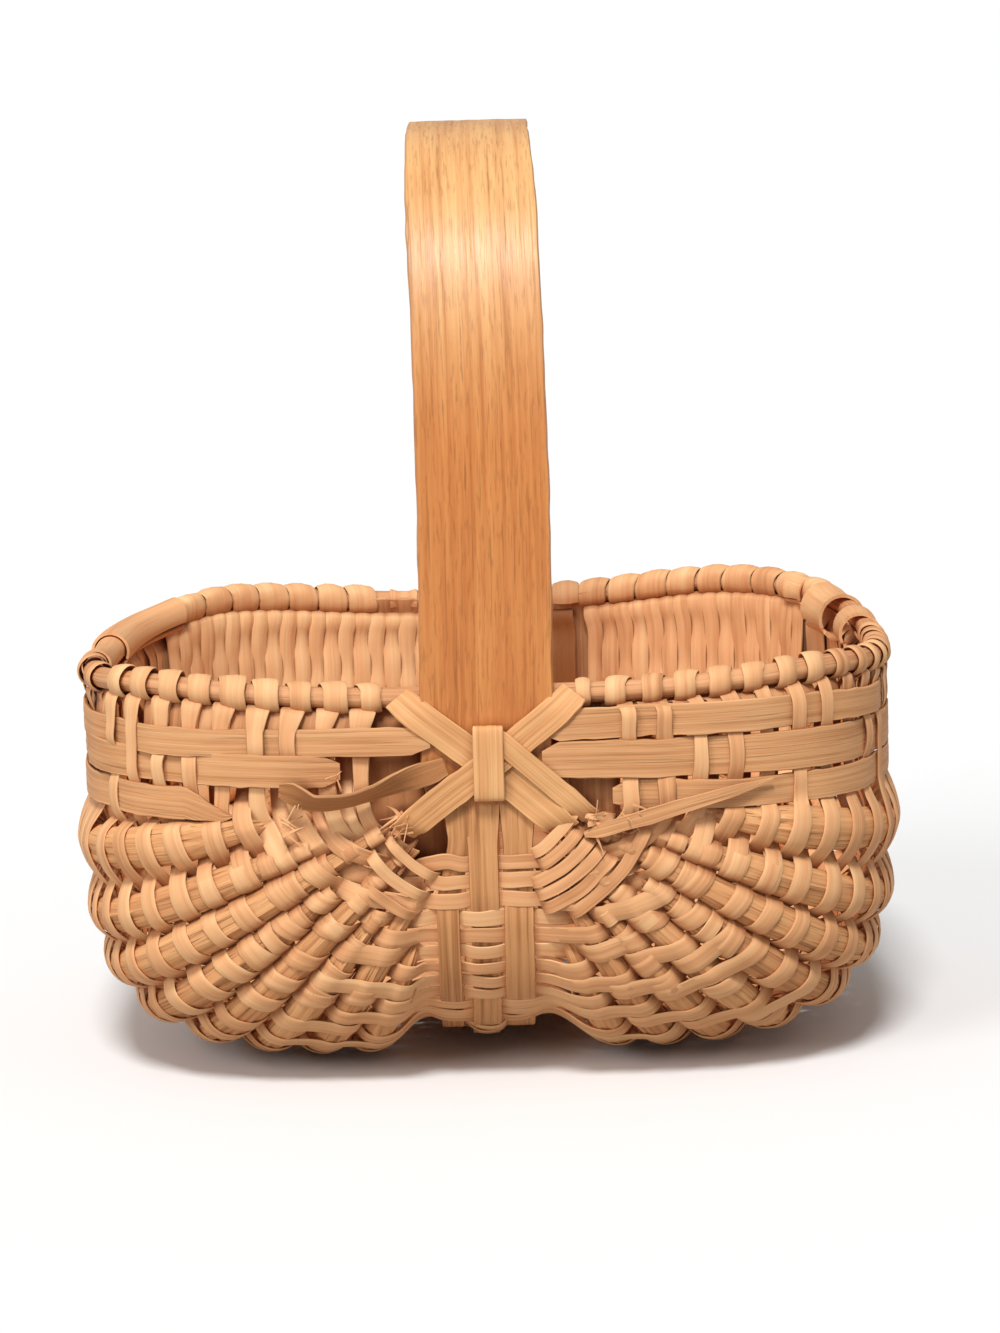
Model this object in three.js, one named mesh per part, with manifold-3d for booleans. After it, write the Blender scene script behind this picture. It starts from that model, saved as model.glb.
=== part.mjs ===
// A rib basket of split oak with two lobes and a hoop handle, for carrying eggs.
// Millimetres, +Z up, the long side along X, the front at -Y, the lowest splints at Z = 0.
// The handle hoop and the rim hoop cross at a front and a back pole. Ribs swing from pole to pole
// under the rim, and courses of splint are woven over and under them from rim to rim.

import * as THREE from 'three';
import Module from 'manifold-3d';

// Handle hoop: one riven strip bent round, its lower half split into three tines
const HANDLE_WIDTH = 37;
const HANDLE_THICK = 2.6;
const HOOP_HALF_DEPTH = 94;
const HANDLE_HEIGHT = 174.5;
const HANDLE_LEAN = 1;
const ARCH_SQUARENESS = 3.1;
const TINE_WIDTH = 8;
const TINE_GAP = 3.4;
const SPLIT_START = 12;

// Rim hoop: a round rod inside the handle hoop, a little higher at its four corners
const RIM_RADIUS = 3;
const RIM_ABOVE_POLES = 20;
const RIM_INSET = 2;
const RIM_WAVE = 3;
const SEAT_GAP = 0.3;

// Bowl: half width, depth below the poles, squareness of its sections, and the cleft under the handle
const BOWL_HALF_WIDTH = 117.5;
const BOWL_DEPTH = 91.5;
const WALL_SQUARENESS = 4.6;
const FACE_SQUARENESS = 3.4;
const CLEFT_DEPTH = 5;
const CLEFT_SPREAD = 16;

// Flat ribs: level bands below the rim. The lowest one starts some courses out from the pole.
const FLAT_RIBS = 3;
const FLAT_WIDTH = 7.4;
const FLAT_THICK = 1.6;
const FLAT_STEP = 9.8;
const FLAT_TOP = 10;
const LOW_FLAT_START = 2;

// Round ribs: angles in degrees below level, thinned towards their tips
const ROUND_RIBS = 8;
const RIB_WIDTH = 7.4;
const RIB_THICK = 4.6;
const RIB_FIRST_ANGLE = 16;
const RIB_ANGLE_STEP = 7.35;
const RIB_TIP_SHARE = 0.5;
const RIB_TAPER = 45;
const RIB_ROOM = 6.5;
const SECOND_RIBS_START = 2;

// Weave: courses per half of the basket, front and back
const COURSES = 14;
const COURSE_GAP = 1.8;
const SPLINT_THICK = 0.8;
const SPLINT_CLEAR = 0.5;
const FLAT_BLOCK = 3;
const TINE_BLOCK = 2;
const FOOT_WEAR = 0.6;

// Lashing: two crossed splints and a binder loop at each pole
const LASH_SPAN = 13;
const LASH_THICK = 0.8;
const LASH_CLEAR = 0.3;
const LASH_DROP = 13.5;
const LASH_TURN = 17;
const BINDER_WIDTH = 9;
const BINDER_LAYERS = [0, 3];
const RISING_LAYER = 1;
const FALLING_LAYER = 2;

// Facet counts and small shares of the shapes
const ARCH_STEPS = 31;
const CURVE_STEPS = 400;
const TILT_STEP = 0.01;
const RIM_SIDES = 8;
const HOOK_CLEAR = 0.6;
const HOOK_ANGLES = [-30, 20, 70, 120, 170];
const LASH_HOOK_ANGLES = [0, 40, 80, 120, 160, 200];
const STEEP = 1.6;

const wasm = await Module();
wasm.setup();

const rad = THREE.MathUtils.degToRad;
const UP = new THREE.Vector3(0, 0, 1);
const SIDEWAYS = new THREE.Vector3(1, 0, 0);

// Values that several pieces share
const tineHalf = 1.5 * TINE_WIDTH + TINE_GAP;
const rimHalfDepth = HOOP_HALF_DEPTH - HANDLE_THICK / 2 - SEAT_GAP - RIM_RADIUS;
const handleFace = HOOP_HALF_DEPTH + HANDLE_THICK / 2;
const courseCount = 2 * COURSES;

// A point on a squared-off oval with half axes a and b
function ovalPoint(a, b, squareness, angle) {
  const c = Math.cos(angle);
  const s = Math.sin(angle);
  const power = 2 / squareness;
  return [a * Math.sign(c) * Math.abs(c) ** power, b * Math.sign(s) * Math.abs(s) ** power];
}

// How far the bowl reaches from the pole axis at an angle below level
function bowlReach(angle) {
  const across = (Math.abs(Math.cos(angle)) / BOWL_HALF_WIDTH) ** WALL_SQUARENESS;
  const down = (Math.abs(Math.sin(angle)) / BOWL_DEPTH) ** WALL_SQUARENESS;
  const off = (angle - Math.PI / 2) / rad(CLEFT_SPREAD);
  return (across + down) ** (-1 / WALL_SQUARENESS) - CLEFT_DEPTH * Math.exp(-off * off);
}

// Centreline of a rib, front pole to back pole, in a plane tilted below level on the right side
class RibCurve extends THREE.Curve {
  constructor(tilt) {
    super();
    this.tilt = tilt;
    this.reach = bowlReach(tilt);
    this.arcLengthDivisions = CURVE_STEPS;
  }

  getPoint(t, target = new THREE.Vector3()) {
    const [out, y] = ovalPoint(this.reach, HOOP_HALF_DEPTH, FACE_SQUARENESS, (t - 0.5) * Math.PI);
    return target.set(out * Math.cos(this.tilt), y, -out * Math.sin(this.tilt));
  }
}

// Centreline of a level band or of half the rim, front to back round the right side
class LevelCurve extends THREE.Curve {
  constructor(halfWidth, halfDepth, height, wave) {
    super();
    this.halfWidth = halfWidth;
    this.halfDepth = halfDepth;
    this.height = height;
    this.wave = wave;
    this.arcLengthDivisions = CURVE_STEPS;
  }

  getPoint(t, target = new THREE.Vector3()) {
    const angle = (t - 0.5) * Math.PI;
    const [out, y] = ovalPoint(this.halfWidth, this.halfDepth, FACE_SQUARENESS, angle);
    return target.set(out, y, this.height + this.wave * Math.sin(2 * angle) ** 2);
  }
}

// Centreline of the handle's arch, from the back pole over the top to the front pole
class ArchCurve extends THREE.Curve {
  getPoint(t, target = new THREE.Vector3()) {
    const [y, z] = ovalPoint(HOOP_HALF_DEPTH, HANDLE_HEIGHT, ARCH_SQUARENESS, t * Math.PI);
    return target.set(-HANDLE_LEAN * (z / HANDLE_HEIGHT) ** 2, y, z);
  }
}

// Closed solid through a list of rings of points, joined end to start if it is a hoop
function loft(rings, hoop = false) {
  const sides = rings[0].length;
  const count = rings.length;
  const position = rings.flat().flatMap((p) => [p.x, p.y, p.z]);
  const index = [];
  for (let i = 0; i < (hoop ? count : count - 1); i++) {
    const here = i * sides;
    const next = ((i + 1) % count) * sides;
    for (let j = 0; j < sides; j++) {
      const k = (j + 1) % sides;
      index.push(here + j, here + k, next + k, here + j, next + k, next + j);
    }
  }
  if (!hoop) {
    const last = (count - 1) * sides;
    for (let j = 1; j < sides - 1; j++) {
      index.push(0, j + 1, j, last, last + j, last + j + 1);
    }
  }
  const geometry = new THREE.BufferGeometry();
  geometry.setAttribute('position', new THREE.Float32BufferAttribute(position, 3));
  geometry.setIndex(signedVolume(position, index) < 0 ? index.reverse() : index);
  geometry.computeVertexNormals();
  return geometry;
}

// Six times the volume inside the triangles, positive if they face out
function signedVolume(position, index) {
  const corner = (i) => new THREE.Vector3().fromArray(position, 3 * i);
  let sum = 0;
  for (let i = 0; i < index.length; i += 3) {
    sum += corner(index[i]).dot(corner(index[i + 1]).cross(corner(index[i + 2])));
  }
  return sum;
}

// Four corners of a flat strip's section: width along one direction, thickness along another
function stripRing(centre, across, width, out, thick) {
  const a = across.clone().multiplyScalar(width / 2);
  const b = out.clone().multiplyScalar(thick / 2);
  return [
    centre.clone().add(a).add(b),
    centre.clone().sub(a).add(b),
    centre.clone().sub(a).sub(b),
    centre.clone().add(a).sub(b),
  ];
}

// Six corners of a round rib's section
function ribRing(centre, across, width, out, thick) {
  const a = across.clone().multiplyScalar(width / 2);
  const b = out.clone().multiplyScalar(thick / 2);
  const spots = [[1, 0], [0.5, 1], [-0.5, 1], [-1, 0], [-0.5, -1], [0.5, -1]];
  return spots.map(([u, v]) => centre.clone().addScaledVector(a, u).addScaledVector(b, v));
}

function toSolid(geometry) {
  const vertProperties = new Float32Array(geometry.getAttribute('position').array);
  const triVerts = new Uint32Array(geometry.index.array);
  return new wasm.Manifold(new wasm.Mesh({ numProp: 3, vertProperties, triVerts }));
}

function toGeometry(solid) {
  const mesh = solid.getMesh();
  const geometry = new THREE.BufferGeometry();
  geometry.setAttribute('position', new THREE.BufferAttribute(mesh.vertProperties, 3));
  geometry.setIndex(new THREE.BufferAttribute(mesh.triVerts, 1));
  geometry.computeVertexNormals();
  return geometry;
}

// Where the courses lie, as shares of each rib's length: edges[k] to edges[k + 1] holds course k
const rimCurve = new LevelCurve(BOWL_HALF_WIDTH - RIM_INSET, rimHalfDepth, RIM_ABOVE_POLES, RIM_WAVE);
const tineCurve = new RibCurve(Math.PI / 2);
const weaveStart = (HANDLE_WIDTH / 2 + LASH_SPAN + LASH_CLEAR) / rimCurve.getLength();
const courseShare = (1 - 2 * weaveStart) / courseCount;
const edges = Array.from({ length: courseCount + 1 }, (unused, k) => weaveStart + k * courseShare);
const splintWidth = tineCurve.getLength() * courseShare - COURSE_GAP;

// Direction out of the bowl at one place on a rib, from the neighbouring ribs and its own run
function ribOut(curve, share, along) {
  const near = new RibCurve(curve.tilt + TILT_STEP).getPointAt(share);
  const across = near.sub(new RibCurve(curve.tilt - TILT_STEP).getPointAt(share));
  return across.cross(along).normalize();
}

function levelOut(along) {
  return new THREE.Vector3(along.y, -along.x, 0).normalize();
}

// Middle, run and outward direction of the flat facet that one course crosses
function facet(curve, k) {
  const start = curve.getPointAt(edges[k]);
  const end = curve.getPointAt(edges[k + 1]);
  const along = end.clone().sub(start).normalize();
  const centre = start.add(end).multiplyScalar(0.5);
  const share = (edges[k] + edges[k + 1]) / 2;
  const out = curve.tilt === undefined ? levelOut(along) : ribOut(curve, share, along);
  return { centre, along, out };
}

// Whether a rib is there at a course: it starts and ends the same number of courses from the poles
const holds = (rib, k) => k >= rib.start && k < courseCount - rib.start;

// First course that a round rib holds: every second rib starts later, and so do ribs near a band or a tine
function firstCourse(curve, number) {
  const crowded = (k) => {
    const place = curve.getPointAt((edges[k] + edges[k + 1]) / 2);
    const bands = flatRibs.filter((band) => holds(band, k)).map((band) => band.curve.height);
    const bandEdge = Math.min(...bands) - FLAT_WIDTH / 2;
    return place.x < tineHalf + RIB_ROOM || place.z > bandEdge - RIB_ROOM;
  };
  const earliest = number % 2 ? SECOND_RIBS_START : 0;
  let course = COURSES - 1;
  while (course > earliest && !crowded(course - 1)) course--;
  return course;
}

const flatRibs = Array.from({ length: FLAT_RIBS }, (unused, number) => ({
  curve: new LevelCurve(BOWL_HALF_WIDTH, HOOP_HALF_DEPTH, FLAT_TOP - number * FLAT_STEP, 0),
  number,
  start: number === FLAT_RIBS - 1 ? LOW_FLAT_START : 0,
}));

const roundRibs = Array.from({ length: ROUND_RIBS }, (unused, number) => {
  const curve = new RibCurve(rad(RIB_FIRST_ANGLE + number * RIB_ANGLE_STEP));
  return { curve, number, start: firstCourse(curve, number) };
});

// Share of its full section that a round rib has at one place along it
function ribScale(rib, share) {
  const tip = edges[rib.start];
  const run = Math.min(share - tip, 1 - tip - share) * rib.curve.getLength();
  const t = THREE.MathUtils.clamp(run / RIB_TAPER, 0, 1);
  return RIB_TIP_SHARE + (1 - RIB_TIP_SHARE) * t;
}

// Section of the handle strip, its width along X, at one place on a curve in the plane X = 0
function hoopRing(curve, share, width, thick) {
  const along = curve.getTangentAt(share);
  const out = new THREE.Vector3(0, along.z, -along.y).normalize();
  return stripRing(curve.getPointAt(share), SIDEWAYS, width, out, thick);
}

function handleHoop() {
  const shoulder = SPLIT_START / 2 / tineCurve.getLength();
  const rings = [0, shoulder, ...edges, 1 - shoulder, 1].map((share) => {
    const run = Math.min(share, 1 - share) / shoulder;
    const width = THREE.MathUtils.lerp(HANDLE_WIDTH, 2 * tineHalf, Math.min(run, 1));
    return hoopRing(tineCurve, share, width, HANDLE_THICK);
  });
  const arch = new ArchCurve();
  for (let i = 1; i < ARCH_STEPS; i++) {
    rings.push(hoopRing(arch, i / ARCH_STEPS, HANDLE_WIDTH, HANDLE_THICK));
  }
  const hoop = toSolid(loft(rings, true));
  return toGeometry(hoop.subtract(toSolid(splitCut(-1))).subtract(toSolid(splitCut(1))));
}

// The gap between the middle tine and one side tine
function splitCut(side) {
  const tip = SPLIT_START / tineCurve.getLength();
  const shift = new THREE.Vector3((side * (TINE_WIDTH + TINE_GAP)) / 2, 0, 0);
  const rings = [tip, ...edges, 1 - tip].map((share) => {
    const ring = hoopRing(tineCurve, share, TINE_GAP, 3 * HANDLE_THICK);
    return ring.map((corner) => corner.add(shift));
  });
  return loft(rings);
}

function rimHoop() {
  const shares = [0, weaveStart / 2, ...edges, 1 - weaveStart / 2, 1];
  const half = shares.map((share) => {
    const along = rimCurve.getTangentAt(share);
    const out = levelOut(along);
    const up = out.clone().cross(along);
    const centre = rimCurve.getPointAt(share);
    return Array.from({ length: RIM_SIDES }, (unused, i) => {
      const angle = (2 * Math.PI * i) / RIM_SIDES;
      const spot = centre.clone().addScaledVector(out, RIM_RADIUS * Math.cos(angle));
      return spot.addScaledVector(up, RIM_RADIUS * Math.sin(angle));
    });
  });
  const other = half.slice(1, -1).reverse();
  const mirrored = other.map((ring) => ring.map((p) => new THREE.Vector3(-p.x, p.y, p.z)));
  return loft([...half, ...mirrored], true);
}

function flatRib(rib) {
  const shares = edges.slice(rib.start, courseCount + 1 - rib.start);
  const lead = (HANDLE_WIDTH / 2 + SEAT_GAP) / rib.curve.getLength();
  if (rib.start === 0) {
    shares.unshift(lead);
    shares.push(1 - lead);
  }
  const rings = shares.map((share) => {
    const out = levelOut(rib.curve.getTangentAt(share));
    return stripRing(rib.curve.getPointAt(share), UP, FLAT_WIDTH, out, FLAT_THICK);
  });
  return loft(rings);
}

function roundRib(rib) {
  const shares = edges.slice(rib.start, courseCount + 1 - rib.start);
  const rings = shares.map((share) => {
    const along = rib.curve.getTangentAt(share);
    const out = ribOut(rib.curve, share, along);
    const across = along.clone().cross(out);
    const scale = ribScale(rib, share);
    return ribRing(rib.curve.getPointAt(share), across, RIB_WIDTH * scale, out, RIB_THICK * scale);
  });
  return loft(rings);
}

// Which side of a rib or tine a course passes: 1 is outside, -1 inside
const roundSide = (rib, k) => ((rib.number + k) % 2 ? 1 : -1);
const flatSide = (rib, k) => ((rib.number + Math.floor(k / FLAT_BLOCK)) % 2 ? 1 : -1);
const tineSide = (tine, k) => ((tine + Math.floor(k / TINE_BLOCK)) % 2 ? 1 : -1);

// Right half of a course's route: its places from the middle tine to the rim, with the run of the rib there
function courseRoute(k) {
  const route = [];
  const tine = facet(tineCurve, k);
  const tineOff = HANDLE_THICK / 2 + SPLINT_CLEAR + SPLINT_THICK / 2;
  const tineEdges = [TINE_WIDTH / 2, TINE_WIDTH / 2 + TINE_GAP, tineHalf];
  for (const [i, x] of tineEdges.entries()) {
    const centre = tine.centre.clone().addScaledVector(tine.out, tineSide(Math.min(i, 1), k) * tineOff);
    route.push({ centre: centre.setX(x), along: tine.along });
  }
  for (const rib of [...roundRibs].reverse()) {
    if (holds(rib, k)) route.push({ ...facet(rib.curve, k), rib });
  }
  const flatOff = FLAT_THICK / 2 + SPLINT_CLEAR + SPLINT_THICK / 2;
  for (const rib of [...flatRibs].reverse()) {
    if (!holds(rib, k)) continue;
    const { centre, along, out } = facet(rib.curve, k);
    const middle = centre.addScaledVector(out, flatSide(rib, k) * flatOff);
    route.push({ centre: middle.clone().addScaledVector(UP, -FLAT_WIDTH / 2), along });
    route.push({ centre: middle.clone().addScaledVector(UP, FLAT_WIDTH / 2), along });
  }
  passRoundRibs(route, k);
  route.push(...rimHook(k));
  return route;
}

// Moves a course out or in to clear each round rib, further where its neighbours are close
function passRoundRibs(route, k) {
  const middles = route.map((place) => place.centre.clone());
  route.forEach((place, i) => {
    if (!place.rib) return;
    const near = [middles[i - 1], middles[i + 1]].map((other) => other.distanceTo(middles[i]));
    const scale = ribScale(place.rib, (edges[k] + edges[k + 1]) / 2);
    const clear = (RIB_THICK * scale) / 2 + SPLINT_CLEAR + (STEEP * SPLINT_THICK) / 2;
    const off = clear / (1 - (RIB_WIDTH * scale) / 2 / Math.min(...near));
    place.centre.addScaledVector(place.out, roundSide(place.rib, k) * off);
  });
}

// A course's end: over the rim from the side it comes up on, and down the other side
function rimHook(k) {
  const { centre, along, out } = facet(rimCurve, k);
  const up = out.clone().cross(along);
  const radius = RIM_RADIUS + HOOK_CLEAR + SPLINT_THICK / 2;
  const outside = flatSide(flatRibs[0], k) > 0;
  return HOOK_ANGLES.map((angle) => {
    const turn = rad(outside ? angle : 180 - angle);
    const spot = centre.clone().addScaledVector(out, radius * Math.cos(turn));
    return { centre: spot.addScaledVector(up, radius * Math.sin(turn)), along };
  });
}

function mirrorPlace(place) {
  const flip = (v) => new THREE.Vector3(-v.x, v.y, v.z);
  return { centre: flip(place.centre), along: flip(place.along) };
}

function course(k) {
  const right = courseRoute(k);
  const places = [...right.map(mirrorPlace).reverse(), ...right];
  const rings = places.map((place, i) => {
    const before = places[Math.max(i - 1, 0)].centre;
    const after = places[Math.min(i + 1, places.length - 1)].centre;
    const run = after.clone().sub(before);
    const out = place.along.clone().cross(run).normalize();
    return stripRing(place.centre, place.along, splintWidth, out, SPLINT_THICK);
  });
  return loft(rings);
}

// Depth of the lashing's layers in front of the handle: binder, two splints, binder
const layerDepth = (layer) =>
  handleFace + LASH_CLEAR + LASH_THICK / 2 + layer * (LASH_THICK + LASH_CLEAR);
const lashAtRim = HANDLE_WIDTH / 2 + LASH_CLEAR + LASH_SPAN / 2;
const lashSpread = lashAtRim / LASH_TURN;

// One diagonal splint in front of the handle, hooked over the rim at its upper end on the right
function lash(layer) {
  const depth = layerDepth(layer);
  const places = [-LASH_DROP, 0, LASH_TURN].map((height) => [lashSpread * height, -depth, height]);
  const hookUp = RIM_RADIUS + HOOK_CLEAR + LASH_THICK / 2;
  const rim = rimCurve.getPointAt(lashAtRim / rimCurve.getLength());
  for (const angle of LASH_HOOK_ANGLES) {
    const c = Math.cos(rad(angle));
    const reach = c > 0 ? depth + rim.y : hookUp;
    places.push([lashAtRim, rim.y - reach * c, rim.z + hookUp * Math.sin(rad(angle))]);
  }
  const centres = places.map((place) => new THREE.Vector3(...place));
  const rings = centres.map((centre, i) => {
    const run = centres[Math.min(i + 1, centres.length - 1)].clone().sub(centres[Math.max(i - 1, 0)]);
    const out = new THREE.Vector3(0, -run.z, run.y).normalize();
    return stripRing(centre, SIDEWAYS, LASH_SPAN, out, LASH_THICK);
  });
  return loft(rings);
}

// The upright loop round the crossing of the two lashing splints
function binder() {
  const [back, front] = BINDER_LAYERS.map(layerDepth);
  const middle = (back + front) / 2;
  const reach = front - middle;
  const half = (BINDER_WIDTH + LASH_SPAN) / 2 / lashSpread + LASH_CLEAR + LASH_THICK;
  const rings = [];
  for (const [side, end] of [[-1, -1], [-1, 1], [1, 1], [1, -1]]) {
    const centre = new THREE.Vector3(0, -middle + side * reach, end * half);
    const out = new THREE.Vector3(0, side, end);
    rings.push(stripRing(centre, SIDEWAYS, BINDER_WIDTH, out, LASH_THICK));
  }
  return loft(rings, true);
}

// The splints that touch the table are worn flat at the level where the basket stands
const courseShapes = Array.from({ length: courseCount }, (unused, k) => course(k));
courseShapes.forEach((shape) => shape.computeBoundingBox());
const standing = Math.min(...courseShapes.map((shape) => shape.boundingBox.min.z)) + FOOT_WEAR;

function wornFlat(shape) {
  if (shape.boundingBox.min.z >= standing) return shape;
  const box = new THREE.BoxGeometry(4 * BOWL_HALF_WIDTH, 4 * HOOP_HALF_DEPTH, BOWL_DEPTH);
  box.translate(0, 0, standing - BOWL_DEPTH / 2);
  const corners = [...box.getAttribute('position').array];
  return toGeometry(toSolid(shape).subtract(toSolid(weld(corners, [...box.index.array]))));
}

// A box's corners shared between its faces, so that it is one closed body
function weld(position, index) {
  const found = new Map();
  const points = [];
  const place = index.map((i) => {
    const key = position.slice(3 * i, 3 * i + 3).join();
    if (!found.has(key)) found.set(key, points.push(position.slice(3 * i, 3 * i + 3)) - 1);
    return found.get(key);
  });
  const geometry = new THREE.BufferGeometry();
  geometry.setAttribute('position', new THREE.Float32BufferAttribute(points.flat(), 3));
  geometry.setIndex(place);
  return geometry;
}

const basket = new THREE.Group();
basket.position.z = -standing;

function add(name, geometry, color) {
  const oak = new THREE.MeshStandardMaterial({ color, roughness: 0.7, metalness: 0 });
  const mesh = new THREE.Mesh(geometry, oak);
  mesh.name = name;
  basket.add(mesh);
  return mesh;
}

add('handle_hoop', handleHoop(), 0xc98f57);
add('rim_hoop', rimHoop(), 0xcf9a63);
for (const side of ['left', 'right']) {
  const flip = side === 'left' ? -1 : 1;
  for (const rib of flatRibs) {
    add(`flat_rib_${side}_${rib.number + 1}`, flatRib(rib), 0xd2a26c).scale.x = flip;
  }
  for (const rib of roundRibs) {
    add(`round_rib_${side}_${rib.number + 1}`, roundRib(rib), 0xb98450).scale.x = flip;
  }
}
courseShapes.forEach((shape, k) => {
  const half = k < COURSES ? 'front' : 'back';
  const number = String(k < COURSES ? k + 1 : courseCount - k).padStart(2, '0');
  add(`weaver_${half}_${number}`, wornFlat(shape), 0xdcae7a);
});
for (const [pole, turn] of [['front', 0], ['back', Math.PI]]) {
  add(`lash_${pole}_rising`, lash(RISING_LAYER), 0xe0b582).rotation.z = turn;
  const falling = add(`lash_${pole}_falling`, lash(FALLING_LAYER), 0xe0b582);
  falling.scale.x = -1;
  falling.rotation.z = turn;
  add(`binder_${pole}`, binder(), 0xe6bf8e).rotation.z = turn;
}

export default basket;
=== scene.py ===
"""Split-oak egg basket: the woven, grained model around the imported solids.

Shapes are made in millimetres in the pole frame: its X axis is the long side, the front is at -Y,
and Z = 0 is the level where the handle hoop and the ribs meet at the front and back poles.
"""

import bpy
import numpy as np
from mathutils import Matrix, Vector


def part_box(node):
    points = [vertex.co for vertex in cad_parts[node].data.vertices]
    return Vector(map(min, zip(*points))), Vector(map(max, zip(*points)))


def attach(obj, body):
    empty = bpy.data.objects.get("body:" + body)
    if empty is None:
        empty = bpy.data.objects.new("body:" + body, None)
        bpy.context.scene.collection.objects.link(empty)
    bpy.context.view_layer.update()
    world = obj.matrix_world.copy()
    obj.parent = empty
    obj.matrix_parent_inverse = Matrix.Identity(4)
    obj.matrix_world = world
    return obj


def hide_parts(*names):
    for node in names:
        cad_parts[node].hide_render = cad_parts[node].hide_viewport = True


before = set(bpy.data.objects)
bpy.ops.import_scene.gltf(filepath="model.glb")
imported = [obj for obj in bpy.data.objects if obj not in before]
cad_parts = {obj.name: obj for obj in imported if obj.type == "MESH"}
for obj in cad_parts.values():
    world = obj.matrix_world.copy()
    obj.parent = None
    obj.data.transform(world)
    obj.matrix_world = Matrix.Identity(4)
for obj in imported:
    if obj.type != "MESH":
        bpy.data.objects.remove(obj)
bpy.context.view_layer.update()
rng = np.random.default_rng(23)

# Sizes that the solids have too
HANDLE_WIDTH = 37.0
HANDLE_THICK = 2.6
HOOP_HALF_DEPTH = 94.0
HANDLE_HEIGHT = 174.5
HANDLE_LEAN = 1.0
ARCH_SQUARENESS = 3.1
TINE_PLACES = {-1: -12.0, 0: -1.5, 1: 8.2}
TINE_WIDTHS = {-1: 6.4, 0: 8.2, 1: 8.2}
RIM_RADIUS = 3.0
RIM_ABOVE_POLES = 20.0
RIM_HALF_WIDTH = 115.5
RIM_HALF_DEPTH = 89.4
RIM_WAVE = 3.0
BOWL_HALF_WIDTH = 117.5
BOWL_DEPTH = 91.5
WALL_SQUARENESS = 4.6
FACE_SQUARENESS = 3.4
CLEFT_DEPTH = 5.0
CLEFT_SPREAD = np.radians(16)
FLAT_HEIGHTS = (10.0, 0.2, -9.6)
RIB_STEP = np.radians(7.35)
RIB_TILTS = np.radians(16) + RIB_STEP * np.arange(8)
RIB_STARTS = (3.2, 2, 0, 2, 0, 2, 1, 3)
COURSES = 28
WEAVE_START = 31.8

# Rows of the real weave, which is finer than the solids
ROWS = 60
MIDDLE_ROW = ROWS // 2
PAIRS = ROWS // 2
POLE_ROWS = 3
TURN_BACK_EVERY = 9
STRIP_WIDTH = 6.0
STRIP_THICK = 0.6
RAGGED = 0.07

# Rows at the tines. Knots: at the side tine or the middle one, place beside it, rise and share of the bow
FACE_ROWS = 15
FLOOR_EXTRA = 1.4
TINE_RUNS = (3, 6, 3, 3, 3, 3, 4)
TINE_KNOTS = ((0, 2.6, -1, 1), (1, -2.4, 1, 0), (1, 2.4, 1, -0.4), (1, 7, 0, -1.2))
TINE_WEAVE = 0.72
TINE_SWAY = 0.62
TINE_START = 24.0
TINE_THICK = 1.7
TINE_OVERLAP = 2.0
TINE_BLEND = 14.0
TINE_SPREAD = 2.6
SPLIT_START = 10.0

# Rows at the ribs
TOP_RIB_RAISE = np.radians(2.4)
RIB_TILTS[0] -= TOP_RIB_RAISE
RIB_FILL = 0.92
RIB_LEAST = 5.8
RIB_USUAL = 10.6
RIB_MOST = (12.2,) + 7 * (RIB_USUAL,)
RIB_FLATNESS = 0.66
RIB_CLEARANCE = 0.08
FIRST_REACH = 0.66
TIP_RUN = (-5, 0, 22)
TIP_SHARE = (0.2, 0.6, 1)
TIP_TUCK = 2.8
TUCK_RUN = 16.0
LEAN_FROM = np.radians(10)
LEAN_POWER = 1.8
INSIDE_RUN = 44.0
TWILL_FROM = {1: 4, -1: 6}
TWILL_ROWS = 17
NARROW_RUN = (28, 58)
NARROW_SHARE = (0.68, 1)
BACK_EXTRA = (2.4, 1.8, 1.4, 1.2, 1.0, 0.8, 0.6, 0.6)

# Short caps and arcs over the tips of the ribs
CAP_RIBS = slice(1, 6)
CAP_COUNT = 4
CAP_FIRST = 2.0
CAP_PITCH = 9.0
CAP_CLEARANCE = 0.15
CAP_KNOTS = ((0.62, -0.5), (0.32, 0.82), (0, 1), (-0.32, 0.82), (-0.62, -0.5))
ARC_RUNS = {1: (27.0, 31.0, 35.0, 39.0, 43.0, 47.5), -1: (34.0, 40.5, 47.0)}
ARC_TOP_RIBS = {1: (1, 4), -1: (3, 5)}
ARC_LOW_RIBS = {1: (6, 8), -1: (6, 7)}
ARC_LIFT = 2.1
ARC_END = 3.4
ARC_TUCK = 2.4

# Level bands, and how far they lie from their solids: the right ones only in front
FLAT_WIDTH = 9.5
FLAT_WIDTHS = {1: (9.0, 11.0, 8.6), -1: (8.3, 9.4, 9.4)}
FLAT_SHIFTS = {1: (2.4, 1.4, 0.0), -1: (-1.7, 0.0, 0.0)}
FLAT_STARTS = {1: (15.5, 15.5, 35.0), -1: (15.5, 41.0, 70.0)}
SHIFT_RUN = (0.27, 0.42)
SHIFT_REST = {1: 0.0, -1: 1.0}
FLAT_THICK = 1.2
FLAT_PUSH = 0.75
FLAT_END_RUN = (22, 40)
FLAT_END_LIFT = 2.0
FLAT_TAPER = 10.0
TORN_BAND = (-1, 2)
TORN_RUN = 16.0
TORN_LEAST = 0.08

# Which pairs of rows pass outside (+) or inside (-) each level band, from the front pole to the end
FLAT_BLOCKS = {
    1: ("++---++---++---", "--++----++---++", "++---+---+-----"),
    -1: ("--++---++------", "+----+++---+---", "++++----+------"),
}

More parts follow.
